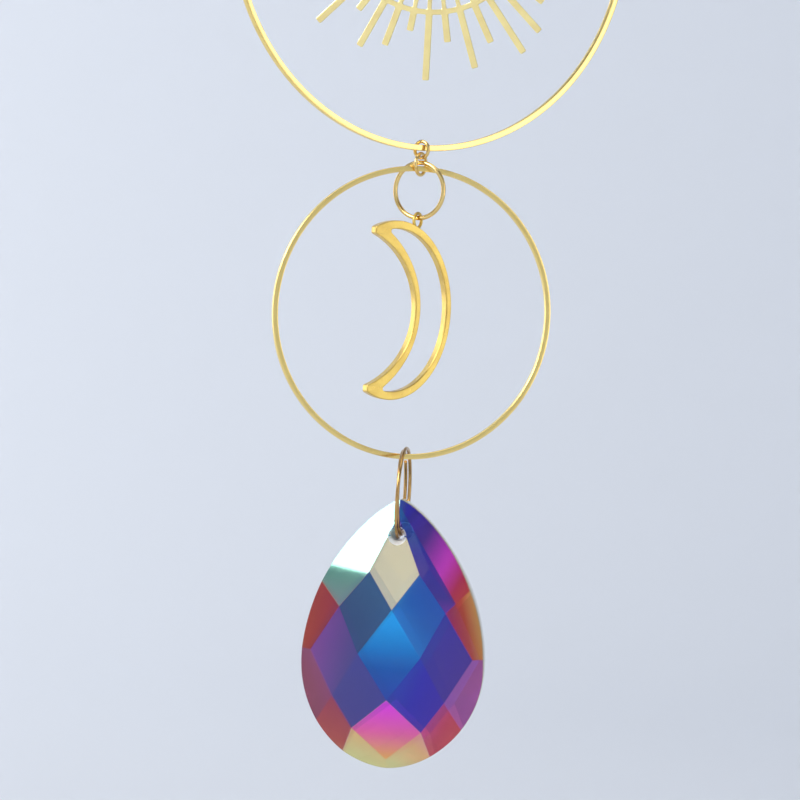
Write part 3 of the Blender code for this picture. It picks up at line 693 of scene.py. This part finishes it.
facet_faces = []
matt_faces = []
for face in shape.faces:
    middle = face.calc_center_bounds()
    front = abs(face.normal.dot(ahead))
    off_hole = middle - hole_middle
    off_hole -= off_hole.dot(ahead) * ahead
    if off_hole.length < HOLE_REACH and front < SQUARE_TO_HOLE:
        matt_faces.append(face)
        continue
    if front < FACET_AHEAD:
        for corner in face.loops:
            corner[bare] = 1.0
        face.smooth = True
        continue
    facet_faces.append(face)
    place = share_of_height(middle)
    nearest = min(CRYSTAL_FACETS, key=lambda facet: (Vector(facet[0]) - place).length)
    spot, order, outward, downward, painted_reflection_share, paleness = nearest
    for corner in face.loops:
        off = (share_of_height(corner.vert.co) - Vector(spot)) * crystal_length / MM
        corner[film] = (order + outward * math.copysign(off.x, off.x * spot[0]) + downward * off.y) / FILM_END
        corner[bare] = paleness
        # Painted reflection: this share darkens the facet towards slate grey, as if it mirrored grey
        # surroundings
        corner[painted_dark_reflection] = painted_reflection_share

facet_edges = [edge for edge in shape.edges if len(edge.link_faces) == 2
               and all(face in facet_faces for face in edge.link_faces)
               and edge.calc_face_angle() > CHAMFER_OVER]
bmesh.ops.bevel(shape, geom=facet_edges, offset=FACET_CHAMFER, offset_type="OFFSET", affect="EDGES",
                segments=1, profile=0.5, material=-1)
for face in matt_faces:
    if face.is_valid:
        face.smooth = True
        face.material_index = 1

CRYSTAL_FILM = (
    (0.00, (0.01, 0.42, 0.92)),
    (0.10, (0.00, 0.12, 0.50)),
    (0.25, (0.03, 0.02, 0.48)),
    (0.40, (0.10, 0.03, 0.36)),
    (0.56, (0.80, 0.05, 0.68)),
    (0.67, (0.62, 0.03, 0.10)),
    (0.78, (0.78, 0.09, 0.04)),
    (0.88, (0.98, 0.50, 0.12)),
    (0.98, (0.80, 0.80, 0.28)),
    (1.07, (0.75, 0.42, 0.66)),
    (1.14, (0.16, 0.45, 0.34)),
    (1.27, (0.03, 0.38, 0.80)),
    (1.40, (1.00, 0.04, 0.95)),
    (1.50, (1.00, 0.15, 0.45)),
    (1.58, (1.00, 0.46, 0.14)),
    (1.66, (0.84, 0.82, 0.30)),
)
coated = bpy.data.materials.new("coated_crystal")
coated.use_nodes = True
nodes = coated.node_tree.nodes
link = coated.node_tree.links.new
shader = nodes["Principled BSDF"]
shader.inputs["Metallic"].default_value = 0.35
shader.inputs["Roughness"].default_value = 0.02
shader.inputs["IOR"].default_value = 1.52
shader.inputs["Transmission Weight"].default_value = 0.7
order = nodes.new("ShaderNodeAttribute")
order.attribute_name = "film"
colours = nodes.new("ShaderNodeValToRGB")
while len(colours.color_ramp.elements) < len(CRYSTAL_FILM):
    colours.color_ramp.elements.new(1.0)
for stop, (position, colour) in zip(colours.color_ramp.elements, CRYSTAL_FILM):
    stop.position = position / FILM_END
    stop.color = (*colour, 1.0)
link(order.outputs["Fac"], colours.inputs["Fac"])
tinted = colours.outputs["Color"]
# The first mix darkens facets towards slate grey, a painted dark reflection of grey surroundings; the second
# makes them pale
for attribute, colour in (("painted_dark_reflection", (0.06, 0.10, 0.16, 1.0)), ("bare", (0.86, 0.76, 0.50, 1.0))):
    share = nodes.new("ShaderNodeAttribute")
    share.attribute_name = attribute
    tint = nodes.new("ShaderNodeMix")
    tint.data_type = "RGBA"
    tint.inputs["B"].default_value = colour
    link(share.outputs["Fac"], tint.inputs["Factor"])
    link(tinted, tint.inputs["A"])
    tinted = tint.outputs["Result"]
link(tinted, shader.inputs["Base Color"])

drilled = bpy.data.materials.new("drilled_glass")
drilled.use_nodes = True
shader = drilled.node_tree.nodes["Principled BSDF"]
shader.inputs["Base Color"].default_value = (0.95, 0.95, 0.94, 1.0)
shader.inputs["Roughness"].default_value = 0.40
shader.inputs["Transmission Weight"].default_value = 0.45

mesh = bpy.data.meshes.new("crystal_drop_glass")
shape.to_mesh(mesh)
shape.free()
mesh.materials.append(coated)
mesh.materials.append(drilled)
crystal = bpy.data.objects.new("crystal_drop_glass", mesh)
scene.collection.objects.link(crystal)
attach(crystal, "root")
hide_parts("crystal_drop")
